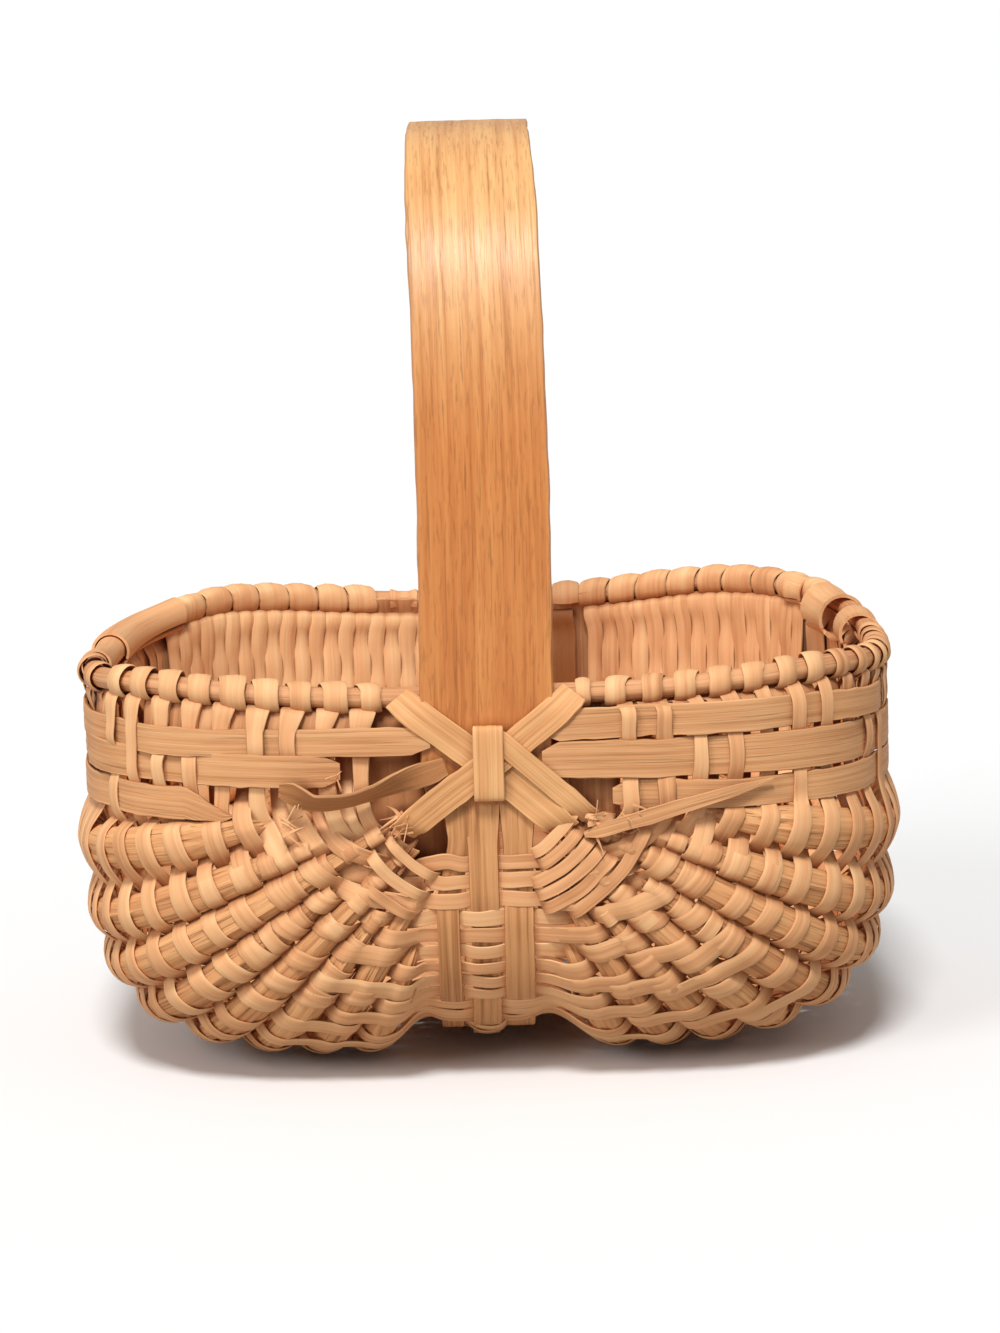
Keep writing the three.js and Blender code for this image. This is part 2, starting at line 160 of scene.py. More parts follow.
# Uprights at the level bands: those that wrap the rim, and liners that end under it
BAND_KNOT = 0.34
LINER_WIDTH = 11.0
LINER_DEPTH = 5.0
LINER_NECK = (-0.8, -0.2, 0.8)
LINER_HEAD = (-3.2, 1.6, 0.6)
BACK_LINER_HEAD = (-1.6, -0.1, 0.6)
# The fill uprights at the front pole are toned darker: painted shade in the gaps there
FRONT_FILL_SHADE = {1: 1.4, -1: 2.2}
FILL_PLACES = (20.8, 25.4, 30.0, 34.4)
FILL_FOOT = -0.7
FILL_HEAD = (3.6, 1.0)
# The left lining is toned paler than the right: painted light on the left of the back wall
LINING_ROWS = {1: (44, 60), -1: (44, 63)}
LINING_TONES = {1: (0.1, 0.9), -1: (0.8, 1.6)}
LINING_FOOT_DEPTH = 4.0
LINING_DEPTH = 7.2
LINING_WAVE = 0.4
LINING_HEAD = ((3.2, -6.2), (2.7, -4.7), (0.4, -4.2))
INNER_RAGGED = 0.06
# Dark splints beside the handle: painted shadow, put where there is only shade
SHADOW_SPLINT_TONE = -1.5
SHADOW_SPLINT_PLACE = 24.2
SHADOW_UPRIGHTS = ((-18.2, -88.6, 2.0), (-18.0, -88.0, -10.0), (-17.8, -87.6, -20.0), (-17.4, -86.8, -33.0))
STUB_ROWS = {1: range(2, 27, 2), -1: range(1, 25, 2)}
STUB_DEPTH = 2.2
STUB_RISES = (-3.0, 4.6)
STUB_HEAD = ((0.4, 4.1), (-1.4, 3.7))

# Wraps round the rim. Stretches of it are shares of its half loop
WRAP_ANGLES = (-150, 178, 132, 92, 52, 14, -24, -62, -104, -146)
WRAP_ROUND = 150
WRAP_RADIUS = RIM_RADIUS + STRIP_THICK / 2 + 0.12
WRAP_WIDTH = 5.8
WRAP_SPREAD = 1.2
LEFT_SPREAD = 2.6
END_SPREAD = 2.0
WRAP_CROWN = 0.5
WRAP_LOOSENESS = 0.6
LOOSE_LIFT = 0.4
EXTRA_WRAPS = ((1, 0, 27.4, 4.2), (1, 1, 26.0, 8.6), (-1, 1, 26.0, 8.6))
END_WRAPS = (0.33, 0.5)
TOOTH_WIDTHS = {1: 4.8, -1: 6.8}
TOOTH_OUT = 2.9
TOOTH_DROP = 3.6
BARE_RIM = {1: ((0.515, 0.58), (0.6, 0.672)), -1: ((0.44, 0.715),)}
SLEEVES = {
    "left": (-1, 0.575, 0.71, 5.7, 0.3, 0.2),
    "left_end": (-1, 0.455, 0.585, 4.4, 0.1, 0.0),
    "right_1": (1, 0.533, 0.572, 6.4, 1.9, 1.9),
    "right_2": (1, 0.618, 0.664, 7.4, 2.5, 2.4),
    "right_3": (1, 0.688, 0.71, 5.0, 0.8, 0.4),
}

# How the upper wall rises behind: height, place and run
RISES = ((3.2, 72.0, 32.0), (1.3, -66.0, 26.0))

# Handle arch
HANDLE_BULGE = 1.2
HANDLE_NARROWING = 4.0
CREST_FROM = 150.0
CREST_RUN = 24.0
CREST_NARROWING = 1.5

# Painted shade in crevices: surface per volume near each face, and deeper behind the level bands
CROWD_CELL = 1.4
CROWD_MARGIN = 10.0
CROWD_BLURS = 3
CROWD_REACH = 2.4
CROWD_RANGE = (0.28, 0.8)
NEAR_SHADE = 0.64
DEEP_REACH = 5.5
DEEP_RANGE = (0.16, 0.42)
DEEP_LEVEL = -18.0
POLE_DEEP_LEVEL = -34.0
POLE_HALF_WIDTH = 24.0
DEEP_TOP = 17.0
DEEP_FADE = 6.0

# Fineness of the curves and meshes
CURVE_SAMPLES = 3001
SLEEVE_SAMPLES = 24
LOOP_FADE = 10
GRAIN_SHIFT = 900
POLE_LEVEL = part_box("handle_hoop")[1][2] * 1000 - HANDLE_HEIGHT - HANDLE_THICK / 2


def unit(vectors):
    return vectors / np.linalg.norm(vectors, axis=-1, keepdims=True)


def smooth(part):
    return part * part * (3 - 2 * part)


def ease(values, low, high):
    return smooth(np.clip((values - low) / (high - low), 0, 1))


def averaged(values, reach):
    count = 2 * reach + 1
    return np.convolve(np.pad(values, reach, mode="edge"), np.ones(count) / count, "valid")


def flip(side):
    """Factors that take a shape made on the right to the given side."""
    return np.array([side, 1.0, 1.0])


def oval(a, b, squareness, angle):
    c, s = np.cos(angle), np.sin(angle)
    power = 2 / squareness
    return a * np.sign(c) * np.abs(c) ** power, b * np.sign(s) * np.abs(s) ** power


def bowl_reach(angle):
    across = (abs(np.cos(angle)) / BOWL_HALF_WIDTH) ** WALL_SQUARENESS
    down = (abs(np.sin(angle)) / BOWL_DEPTH) ** WALL_SQUARENESS
    cleft = CLEFT_DEPTH * np.exp(-(((angle - np.pi / 2) / CLEFT_SPREAD) ** 2))
    return (across + down) ** (-1 / WALL_SQUARENESS) - cleft


def read(places, run, values):
    """Values known along a run, read at places on it."""
    return np.stack([np.interp(places, run, column) for column in values.T], -1)


class Line:
    """A finely sampled curve, read by its share of the whole length."""

    def __init__(self, points):
        self.points = points
        steps = np.linalg.norm(np.diff(points, axis=0), axis=1)
        self.run = np.concatenate([[0], np.cumsum(steps)])
        self.length = self.run[-1]

    def at(self, share):
        return read(np.asarray(share) * self.length, self.run, self.points)

    def along(self, share, step=0.004):
        low = np.clip(np.asarray(share) - step, 0, 1)
        high = np.clip(np.asarray(share) + step, 0, 1)
        return unit(self.at(high) - self.at(low))


SWEEP = np.linspace(-0.5, 0.5, CURVE_SAMPLES) * np.pi


def rib_line(tilt):
    out, y = oval(bowl_reach(tilt), HOOP_HALF_DEPTH, FACE_SQUARENESS, SWEEP)
    return Line(np.stack([out * np.cos(tilt), y, -out * np.sin(tilt)], -1))


def level_line(half_width, half_depth, height, wave=0.0):
    out, y = oval(half_width, half_depth, FACE_SQUARENESS, SWEEP)
    return Line(np.stack([out, y, height + wave * np.sin(2 * SWEEP) ** 2], -1))


class Rib:
    """A round rib's middle line and the direction out of the bowl along it."""

    def __init__(self, tilt, start, most, step=0.01):
        self.most = most
        self.line = rib_line(tilt)
        self.below = rib_line(tilt + step)
        self.above = rib_line(tilt - step)
        self.start = start

    def out(self, share):
        across = self.below.at(share) - self.above.at(share)
        return unit(np.cross(across, self.line.along(share)))

    def width(self, share):
        """Ribs fill their share of the bowl and come to a point at both ends."""
        at = self.line.at(share)
        pitch = RIB_STEP * np.hypot(at[..., 0], at[..., 2])
        run = np.minimum(share - self.start, 1 - self.start - share) * self.line.length
        full = np.clip(RIB_FILL * pitch * self.most / RIB_USUAL, RIB_LEAST, self.most)
        return full * np.interp(run, TIP_RUN, TIP_SHARE)


rim = level_line(RIM_HALF_WIDTH, RIM_HALF_DEPTH, RIM_ABOVE_POLES, RIM_WAVE)
tine = rib_line(np.pi / 2)
start_share = WEAVE_START / rim.length
row_share = (1 - 2 * start_share) / ROWS
course_share = (1 - 2 * start_share) / COURSES
ribs = [
    Rib(tilt, start_share + k * course_share, most)
    for tilt, k, most in zip(RIB_TILTS, RIB_STARTS, RIB_MOST)
]
flats = [level_line(BOWL_HALF_WIDTH, HOOP_HALF_DEPTH, height) for height in FLAT_HEIGHTS]


def row_place(row):
    return start_share + (row + 0.5) * row_share


def level_out(along):
    return unit(np.stack([along[..., 1], -along[..., 0], 0 * along[..., 0]], -1))


def tine_out(share):
    along = tine.along(share)
    return unit(np.stack([0 * along[..., 0], along[..., 2], -along[..., 1]], -1))


def jitter(amount):
    return rng.normal(0, amount)


def wander(count, spacing, amount):
    """Smooth random values, one knot for each spacing samples."""
    knots = rng.normal(0, amount, int(count / spacing) + 4)
    place = np.arange(count) / spacing + 1
    low = place.astype(int)
    part = smooth(place - low)
    return knots[low] * (1 - part) + knots[low + 1] * part


def spline(knots, *values, step=1.35, least=3):
    """Smooth line through the knots, with other values carried along it."""
    knots = np.asarray(knots, float)
    gaps = np.linalg.norm(np.diff(knots, axis=0), axis=1)
    where = np.concatenate([[0], np.cumsum(gaps)])
    slopes = np.diff(knots, axis=0) / gaps[:, None]
    weight = (gaps[:-1] / (gaps[:-1] + gaps[1:]))[:, None]
    inner = slopes[:-1] * (1 - weight) + slopes[1:] * weight
    tangents = np.concatenate([slopes[:1], inner, slopes[-1:]])
    stretches = [
        np.linspace(a, b, max(least, int(np.ceil((b - a) / step))), endpoint=False)
        for a, b in zip(where[:-1], where[1:])
    ]
    s = np.concatenate(stretches + [where[-1:]])
    i = np.clip(np.searchsorted(where, s, "right") - 1, 0, len(gaps) - 1)
    h = gaps[i][:, None]
    x = ((s - where[i]) / gaps[i])[:, None]
    points = (
        (2 * x**3 - 3 * x**2 + 1) * knots[i]
        + (x**3 - 2 * x**2 + x) * h * tangents[i]
        + (3 * x**2 - 2 * x**3) * knots[i + 1]
        + (x**3 - x**2) * h * tangents[i + 1]
    )
    carried = (read(s, where, np.array(value, float).reshape(len(knots), -1)).squeeze() for value in values)
    return (points, *carried)


def strip_profile(count, edge, fall=0.12):
    """Section of a flat strip as (across, through) pairs in half sizes, with rounded edges."""
    top = np.linspace(1 - edge, -1 + edge, count)
    crown = 1 - fall * top**2
    upper = np.stack([top, crown], -1)
    lower = np.stack([top[::-1], -crown], -1)
    return np.concatenate([[[1, 0]], upper, [[-1, 0]], lower])


def circle(angle):
    return np.stack([np.cos(angle), np.sin(angle)], -1)


SPLINT = strip_profile(count=4, edge=0.12)
BAND = strip_profile(count=9, edge=0.06)
BOARD = strip_profile(count=13, edge=0.025)
ROD = circle(np.arange(14) * 2 * np.pi / 14)
RIVEN = circle(np.arange(22) * 2 * np.pi / 22)
SLEEVE = circle(np.radians(np.linspace(-140, 205, num=26)))
SLEEVE = np.concatenate([SLEEVE, SLEEVE[::-1] * (1 - 0.14)])
pieces = []


class Bundle:
    """Strips gathered into one mesh, with grain coordinates, a tone and an edge value per point."""

    def __init__(self):
        self.points, self.facing, self.area = [], [], []
        self.grain, self.tone, self.edge = [], [], []
        self.faces = []
        self.count = 0

    def sweep(
        self, path, side, width, thick, profile, tone,
        loop=False, ragged=0.0, ridged=0.0, flare=0.0, crown=0.0,
    ):
        count, sides = len(path), len(profile)
        if loop:
            run = np.roll(path, -1, 0) - np.roll(path, 1, 0)
        else:
            run = np.gradient(path, axis=0)
        run = unit(run)
        normal = unit(np.cross(run, side))
        side = np.cross(normal, run)
        half, deep, flare, crown = (
            np.broadcast_to(value, (count,))[:, None] for value in (width / 2, thick / 2, flare, crown)
        )
        u, v = profile[:, 0], profile[:, 1]
        right_edge = wander(count, 3.0, ragged)[:, None]
        left_edge = wander(count, 3.0, ragged)[:, None]
        across = u * (half + np.where(u > 0, right_edge, left_edge))
        through = v * deep
        if ridged:
            ridges = np.stack([wander(count, 14.0, ridged) for _ in range(sides)], -1)
            through = through + ridges * np.sign(v)
            if loop:
                to_seam = np.minimum(np.arange(count), count - 1 - np.arange(count))
                fade = np.clip(to_seam / LOOP_FADE, 0, 1)
                through = v * deep + (through - v * deep) * fade[:, None]
        lift = through + flare * (1 - u) / 2 + crown * (1 - u**2)
        points = path[:, None] + side[:, None] * across[..., None] + normal[:, None] * lift[..., None]
        facing = unit(side[:, None] * (u / half)[..., None] + normal[:, None] * (v / deep)[..., None])
        length = np.concatenate([[0], np.cumsum(np.linalg.norm(np.diff(path, axis=0), axis=1))])
        shift = rng.uniform(0, GRAIN_SHIFT, 3)
        grain = np.stack([np.broadcast_to(length[:, None], across.shape), across, through], -1) + shift
        index = self.count + np.arange(count * sides).reshape(count, sides)
        after = np.roll(index, -1, 1)
        if loop:
            ends = np.roll(index, -1, 0), np.roll(after, -1, 0)
            quads = np.stack([index, after, ends[1], ends[0]], -1).reshape(-1, 4)
        else:
            quads = np.stack([index[:-1], after[:-1], after[1:], index[1:]], -1).reshape(-1, 4)
            self.faces += [index[0][::-1].tolist(), index[-1].tolist()]
        self.faces.extend(quads.tolist())
        area = np.gradient(length)[:, None] * 4 * (half + deep) / sides
        self.points.append(points.reshape(-1, 3))
        self.facing.append(facing.reshape(-1, 3))
        self.area.append(np.broadcast_to(area, across.shape).reshape(-1))
        self.grain.append(grain.reshape(-1, 3))
        self.tone.append(np.full(count * sides, tone))
        self.edge.append(np.broadcast_to(np.abs(u), across.shape).reshape(-1))
        self.count += count * sides

    def lay(self, knots, alongs, side, width, tone, **more):
        """Sweeps a thin strip through knots made for the right, on the given side."""
        alongs = np.broadcast_to(alongs, knots.shape)
        path, across = spline(knots * flip(side), alongs * flip(side))
        self.sweep(path, across, width, STRIP_THICK, SPLINT, tone, **more)

    def build(self, name, material, slot, nodes=()):
        """Lists the strips as a piece, which is made once all pieces are known."""
        pieces.append((self, name, material, slot, nodes))


class Crowding:
    """Surface per volume of the whole weave, which is high in narrow gaps."""

    def __init__(self, points, areas):
        self.low = points.min(0) - CROWD_MARGIN
        self.shape = np.ceil((points.max(0) + CROWD_MARGIN - self.low) / CROWD_CELL).astype(int) + 1
        index = np.rint((points - self.low) / CROWD_CELL).astype(int)
        flat = np.ravel_multi_index(index.T, self.shape)
        cells = np.bincount(flat, areas, np.prod(self.shape)).reshape(self.shape)
        for axis in CROWD_BLURS * (0, 1, 2):
            cells = (np.roll(cells, 1, axis) + cells + np.roll(cells, -1, axis)) / 3
        self.cells = cells / CROWD_CELL**3

    def at(self, points):
        place = (points - self.low) / CROWD_CELL
        cell = place.astype(int)
        part = place - cell
        total = np.zeros(len(points))
        for corner in np.ndindex(2, 2, 2):
            weight = np.where(corner, part, 1 - part).prod(1)
            total += weight * self.cells[tuple((cell + corner).T)]
        return total


# Painted shade: darker in narrow gaps before each face, and deeper behind the level bands
def crevice_shade(points, facing, crowding):
    near = np.interp(crowding.at(points + facing * CROWD_REACH), CROWD_RANGE, (0, NEAR_SHADE))
    deep = np.interp(crowding.at(points + facing * DEEP_REACH), DEEP_RANGE, (0, 1))
    lowest = np.where(np.abs(points[:, 0]) < POLE_HALF_WIDTH, POLE_DEEP_LEVEL, DEEP_LEVEL)
    deep = deep * np.clip((points[:, 2] - lowest) / DEEP_FADE, 0, 1)
    deep = deep * np.clip((DEEP_TOP - points[:, 2]) / DEEP_FADE, 0, 1)
    return np.maximum(near, deep)


def rim_rise(points):
    """How far the upper wall stands above its level lines: higher behind, lower at the left end."""
    x, y, z = points.T
    rise = sum(height * np.exp(-(((x - place) / run) ** 2)) for height, place, run in RISES)
    dip = 3.6 * ease(-x, low=80, high=108) * ease(y, low=-30, high=20)
    return (rise * ease(y, low=30, high=85) - dip) * ease(z, low=-5, high=18)


def add_object(name, data):
    made = bpy.data.objects.new(name, data)
    bpy.context.collection.objects.link(made)
    return made


def make_piece(bundle, name, material, slot, nodes, crowding):
    points = np.concatenate(bundle.points)
    shade = crevice_shade(points, np.concatenate(bundle.facing), crowding)
    points[:, 2] += rim_rise(points)
    points[points[:, 2] < 0, 2] *= foot_stretch
    mesh = bpy.data.meshes.new(name)
    mesh.from_pydata(((points + [0, 0, POLE_LEVEL]) / 1000).tolist(), [], bundle.faces)
    mesh.polygons.foreach_set("use_smooth", np.ones(len(mesh.polygons), bool))
    for label, kind, key, values in (
        ("grain", "FLOAT_VECTOR", "vector", bundle.grain),
        ("tone", "FLOAT", "value", bundle.tone),
        ("edge", "FLOAT", "value", bundle.edge),
        ("shade", "FLOAT", "value", [shade]),
    ):
        layer = mesh.attributes.new(label, kind, "POINT")
        layer.data.foreach_set(key, np.concatenate(values).astype(np.float32).ravel())
    mesh.materials.append(material)
    mesh.update()
    mesh.set_sharp_from_angle(angle=np.radians(40))
    piece = add_object(name, mesh)
    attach(piece, "root")
    if nodes:
        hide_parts(*nodes)


# Oak: the colour goes from dark to pale by grain, the strip's own tone and blotches, and painted shade
# darkens it in crevices
PAINTED_SHADE_COLOUR = (0.36, 0.22, 0.15, 1)


def srgb(colour):
    value = np.array(colour) / 255
    linear = np.where(value <= 0.04045, value / 12.92, ((value + 0.055) / 1.055) ** 2.4)
    return (*linear.tolist(), 1.0)


def tint(colour, factor):
    return (*(min(1.0, factor * c) for c in colour[:3]), 1.0)


def add_node(tree, kind, inputs=(), **settings):
    """A shader node whose inputs are values or the outputs of other nodes."""
    made = tree.nodes.new(kind)
    for key, value in settings.items():
        setattr(made, key, value)
    for key, value in dict(inputs).items():
        if isinstance(value, bpy.types.NodeSocket):
            tree.links.new(value, made.inputs[key])
        else:
            made.inputs[key].default_value = value
    return made


def oak(
    name, colours, rough, coarse, pores, bump,
    contrast=1.25, gloss=0.3, vary=0.36, worn=0.35, painted_lower_shade=None, flecks=0.0,
):
    """Split oak: long streaks, fine fibres and dark pore lines along each strip's own grain."""
    pale, mid, dark = map(srgb, colours)
    material = bpy.data.materials.new(name)
    material.use_nodes = True
    tree = material.node_tree

    def attribute(label, output="Fac"):
        return add_node(tree, "ShaderNodeAttribute", attribute_name=label).outputs[output]

    def noise(source, along, across, detail=2.0, distortion=0.0):
        inputs = {0: source, 1: (along, across, across)}
        stretched = add_node(tree, "ShaderNodeVectorMath", inputs, operation="MULTIPLY").outputs[0]
        inputs = {"Vector": stretched, "Scale": 1.0, "Detail": detail, "Distortion": distortion}
        return add_node(tree, "ShaderNodeTexNoise", inputs).outputs["Fac"]

    def math(operation, a, b):
        return add_node(tree, "ShaderNodeMath", {0: a, 1: b}, operation=operation).outputs[0]

    def ramp(factor, places, colours):
        made = add_node(tree, "ShaderNodeValToRGB", {0: factor})
        elements = made.color_ramp.elements
        while len(elements) < len(places):
            elements.new(0.5)
        for element, place, colour in zip(elements, places, colours):
            element.position = place
            element.color = colour
        return made.outputs[0]

    def marks(along, across, places):
        return ramp(noise(grain, along, across), places, ((0, 0, 0, 1), (1, 1, 1, 1)))

    def mix(kind, factor, a, b):
        inputs = {0: factor, 6: a, 7: b}
        return add_node(tree, "ShaderNodeMix", inputs, data_type="RGBA", blend_type=kind).outputs[2]

    grain = attribute("grain", "Vector")
    place = add_node(tree, "ShaderNodeTexCoord").outputs["Object"]
    streak = noise(grain, along=0.012, across=coarse, detail=4.0, distortion=0.3)
    fibre = noise(grain, along=0.05, across=3.6 * coarse, detail=3.0)
    blotch = noise(place, along=38, across=38)
    level = math("ADD", math("MULTIPLY", streak, contrast), 0.175 - 0.5 * contrast)
    for value, share in (
        (math("SUBTRACT", attribute("tone"), 0.5), vary), (fibre, 0.3), (blotch, 0.3)
    ):
        level = math("ADD", level, math("MULTIPLY", value, share))
    colour = ramp(level, (0.12, 0.46, 0.86), (dark, mid, pale))
    deep = tint(dark, factor=0.42)
    pore = marks(along=0.03, across=2.1 * coarse, places=(0.60, 0.70))
    colour = mix("MIX", math("MULTIPLY", pore, pores), colour, deep)
    if flecks:
        dash = marks(along=0.14, across=1.3, places=(0.54, 0.66))
        colour = mix("MIX", math("MULTIPLY", dash, flecks), colour, deep)
    # Painted shade: the handle grows darker below its crest, so the crest stays lighter as if lit from above
    if painted_lower_shade:
        height = add_node(tree, "ShaderNodeSeparateXYZ", {0: place}).outputs["Z"]
        limits = {"Value": height, "From Min": 0.25, "From Max": 0.18}
        shade = add_node(tree, "ShaderNodeMapRange", limits, interpolation_type="SMOOTHSTEP")
        colour = mix("MULTIPLY", shade.outputs[0], colour, srgb(painted_lower_shade))
    rubbed = math("MULTIPLY", math("POWER", attribute("edge"), 9.0), worn)
    colour = mix("MIX", rubbed, colour, tint(pale, factor=1.12))
    # Painted shade in crevices, from each point's shade value
    colour = mix("MULTIPLY", attribute("shade"), colour, PAINTED_SHADE_COLOUR)
    limits = {"Value": fibre, "To Min": rough - 0.1, "To Max": rough + 0.14}
    roughness = add_node(tree, "ShaderNodeMapRange", limits)
    height = math("ADD", streak, math("MULTIPLY", fibre, 0.6))
    height = math("SUBTRACT", height, math("MULTIPLY", pore, 0.5))
    inputs = {"Strength": bump, "Distance": 0.0004, "Height": height}
    relief = add_node(tree, "ShaderNodeBump", inputs)
    inputs = tree.nodes["Principled BSDF"].inputs
    tree.links.new(colour, inputs["Base Color"])
    tree.links.new(roughness.outputs[0], inputs["Roughness"])
    tree.links.new(relief.outputs[0], inputs["Normal"])
    inputs["Specular IOR Level"].default_value = gloss
    return material


# The handle carries painted shade below its crest
handle_oak = oak(
    "handle_oak", ((253, 202, 137), (235, 174, 112), (207, 140, 82)), rough=0.36, coarse=0.55, pores=0.32,
    bump=0.35, contrast=1.2, gloss=0.42, worn=0.06, painted_lower_shade=(232, 198, 168), flecks=0.3,
)
tine_oak = oak(
    "tine_oak", ((236, 176, 120), (214, 152, 98), (166, 106, 60)), rough=0.6, coarse=0.7, pores=0.4, bump=0.4
)
rim_oak = oak(
    "rim_oak", ((240, 182, 130), (220, 158, 110), (176, 114, 70)), rough=0.6, coarse=0.8, pores=0.4, bump=0.5
)
rib_oak = oak(
    "rib_oak", ((246, 188, 130), (226, 162, 108), (174, 112, 68)), rough=0.7, coarse=0.7, pores=0.55,
    bump=0.7, vary=0.24,
)
weaver_oak = oak(
    "weaver_oak", ((254, 207, 152), (240, 177, 124), (196, 132, 84)), rough=0.62, coarse=0.42, pores=0.08,
    bump=0.22, contrast=0.9, vary=0.26,
)
flat_oak = oak(
    "flat_oak", ((244, 193, 139), (224, 162, 110), (180, 120, 72)), rough=0.62, coarse=0.9, pores=0.3,
    bump=0.45, contrast=0.95,
)
lash_oak = oak(
    "lashing_oak", ((246, 191, 132), (228, 163, 106), (184, 122, 72)), rough=0.6, coarse=0.9, pores=0.25,
    bump=0.4,
)

# Rows that cross the tines: not those nearest the poles, and every ninth turns back at the last rib
crossing = [j for j in range(POLE_ROWS, ROWS - POLE_ROWS) if (j - POLE_ROWS + 1) % TURN_BACK_EVERY]
tine_start = TINE_START / tine.length
tine_shares = tine_start + (np.arange(len(crossing)) + 0.5) / len(crossing) * (1 - 2 * tine_start)
lean = 1 - (1 - np.clip((RIB_TILTS - LEAN_FROM) / (np.pi / 2 - LEAN_FROM), 0, 1)) ** LEAN_POWER


def sag(share, depth=2.4, start=62.0, run=22.0):
    """How far the middle tine bows out under the basket."""
    return depth * np.clip((-tine.at(share)[..., 2] - start) / run, 0, 1) ** 2


def splay(number, share, reach=4.2):
    """How far the left tine stands nearer to the middle where it is split from the hoop."""
    if number >= 0:
        return 0 * share
    return reach * (1 - ease(-tine.at(share)[..., 2], low=18.0, high=42.0))


# Side of the side tines that each crossing row takes: 1 is outside. Symmetric about the middle
half = np.repeat((-1.0) ** np.arange(len(TINE_RUNS)), TINE_RUNS)[: (len(crossing) + 1) // 2]
side_of_tine = np.concatenate([half, half[::-1][len(crossing) % 2:]])


def band_shift(side, band, share):
    """How far a level band lies above its solid: the right ones only in front."""
    return FLAT_SHIFTS[side][band] * np.interp(share, SHIFT_RUN, (1, SHIFT_REST[side]))


def block(side, band, pair):
    """1 where a pair of rows passes outside a level band, -1 inside."""
    table = FLAT_BLOCKS[side if pair < PAIRS // 2 else -side][band]
    return 1.0 if table[min(pair, PAIRS - 1 - pair)] == "+" else -1.0


def rim_turn(share, slide, reach, behind):
    """Places once round the rim, up its inside and down its outside, sliding along it."""
    places = []
    for angle in WRAP_ANGLES[:-1] if behind else WRAP_ANGLES:
        here = share + slide * (angle != WRAP_ANGLES[0]) * ease(-angle, low=-165, high=-35)
        along = rim.along(here)
        turn = np.radians(angle)
        spot = rim.at(here) + level_out(along) * reach * np.cos(turn) + [0, 0, reach * np.sin(turn)]
        places.append((spot, along, abs(angle) < WRAP_ROUND))
    return places


class Route:
    """Places of a strip, each with the direction across it, a width, a flare and a crown."""

    def __init__(self):
        self.knots = []

    def put(self, point, along, width=STRIP_WIDTH, flare=0.0, crown=0.0):
        self.knots.append((point, along, width, flare, crown))

    def columns(self):
        return [np.array(column) for column in zip(*self.knots)]


def cross_tines(route, j, side, low):
    """Where a row weaves through the tines."""
    turn = side_of_tine[crossing.index(j)]
    at, along, out = tine.at(low), tine.along(low), tine_out(low)
    place = abs(TINE_PLACES[side] + splay(side, low))
    bow = sag(low)
    width = 6.3
    if j < MIDDLE_ROW:
        width = rng.uniform(4.0, 5.0) + FLOOR_EXTRA * (j >= FACE_ROWS)
    for at_side, beside, rise, bowing in TINE_KNOTS:
        x = (place if at_side else side * TINE_PLACES[0]) + beside
        lift = TINE_WEAVE * rise * turn + jitter(0.08) + bowing * bow
        route.put(at + out * lift + [x, 0, 0] + along * jitter(0.25), along, width)


def cross_ribs(route, j, side, base, low):
    """Where a row passes over and under the ribs, from the lowest one up."""
    passes = []
    for number in reversed(range(len(ribs))):
        rib = ribs[number]
        share = base + (low - base) * lean[number] + jitter(0.45) / rib.line.length
        if rib.start - row_share < share < 1 - rib.start + row_share:
            passes.append((number, rib, share, rib.line.at(share)))
    for order, (number, rib, share, at) in enumerate(passes):
        run = min(share, 1 - share) * rib.line.length
        twill = number >= TWILL_FROM[side] and min(j, ROWS - 1 - j) < TWILL_ROWS
        outside = (number + j) % (3 if twill else 2)
        over = 1 if outside and run > INSIDE_RUN else -1
        width = rib.width(share)
        lift = RIB_FLATNESS * width / 2 + STRIP_THICK / 2 + RIB_CLEARANCE
        along, out = rib.line.along(share), rib.out(share)
        up = -np.cross(along, out)
        if len(passes) > 1:
            way = passes[min(order + 1, len(passes) - 1)][3] - passes[max(order - 1, 0)][3]
            up = up + along * np.clip((way @ along) / (way @ up), -1, 1)
        if not route.knots:
            route.put(at - up * FIRST_REACH * width - out * over * 0.5 * lift, along)
        wide = STRIP_WIDTH * np.interp(run, NARROW_RUN, NARROW_SHARE)
        if j >= MIDDLE_ROW:
            wide += BACK_EXTRA[number]
        for step, drop in ((-0.3, 0.84), (0, 1), (0.3, 0.84)):
            route.put(at + up * (step * width) + out * over * lift * drop, along, wide)


def cross_bands(route, base, side, pair, wide, depth, crown):
    """Where a row stands at the level bands: at a depth behind them, or in and out."""
    for number in (2, 1, 0):
        line = flats[number]
        share = base + jitter(0.2) / line.length
        if not FLAT_STARTS[side][number] < share * line.length < line.length - FLAT_STARTS[-side][number]:
            continue
        outward = -depth
        if not depth:
            outward = 0.75 if block(side, number, pair) > 0 else -0.5
        along = line.along(share)
        middle = line.at(share) + level_out(along) * outward
        for rise in (-BAND_KNOT, BAND_KNOT):
            height = rise * FLAT_WIDTH + band_shift(side, number, share)
            route.put(middle + [0, 0, height], along, wide, crown=crown)


def end_under_rim(route, base, wide, behind, bare):
    """The head of a liner, which keeps its width where the rim is bare."""
    along = rim.along(base)
    head = BACK_LINER_HEAD if behind and not bare else LINER_HEAD
    for outward, rise, share in (LINER_NECK, head):
        spot = rim.at(base) + level_out(along) * outward + [0, 0, rise - WRAP_RADIUS]
        route.put(spot, along, wide if bare else share * wide)


